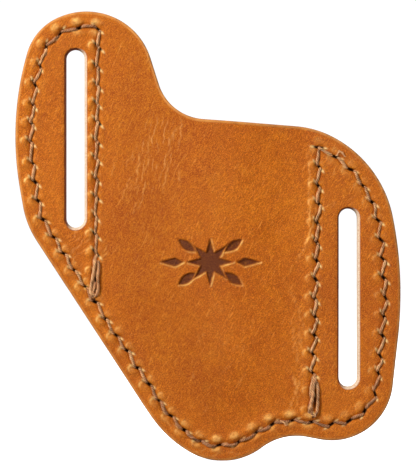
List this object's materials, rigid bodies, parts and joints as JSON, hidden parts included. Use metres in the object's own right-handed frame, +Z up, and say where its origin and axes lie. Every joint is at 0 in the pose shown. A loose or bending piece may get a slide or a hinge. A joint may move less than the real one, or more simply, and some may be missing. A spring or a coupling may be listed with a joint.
{
  "type": "leather pancake belt sheath",
  "caption": "Flat leather sheath worn canted on a belt: an open-topped pocket between two stitched panels, with a belt slot down each side.",
  "frame": {"origin": "on the flat back face, halfway between the two belt slots, where the belt's centre line crosses", "axes": "+Z up along the slots and out of the pocket's mouth, front towards -Y, back towards +Y, +X to the right when seen from the front"},
  "size_m": [0.1003, 0.011, 0.1169],
  "materials": {
    "front_leather": "waxed full-grain vegetable-tanned leather, tan",
    "back_leather": "waxed full-grain vegetable-tanned leather, tan",
    "thread": "waxed three-ply twisted thread, tan brown"
  },
  "bodies": {
    "root": {"front_panel": "front_leather", "back_panel": "back_leather", "left_seam_needle_thread": "thread", "left_seam_bobbin_thread": "thread", "right_seam_needle_thread": "thread", "right_seam_bobbin_thread": "thread"}
  },
  "joints": []
}
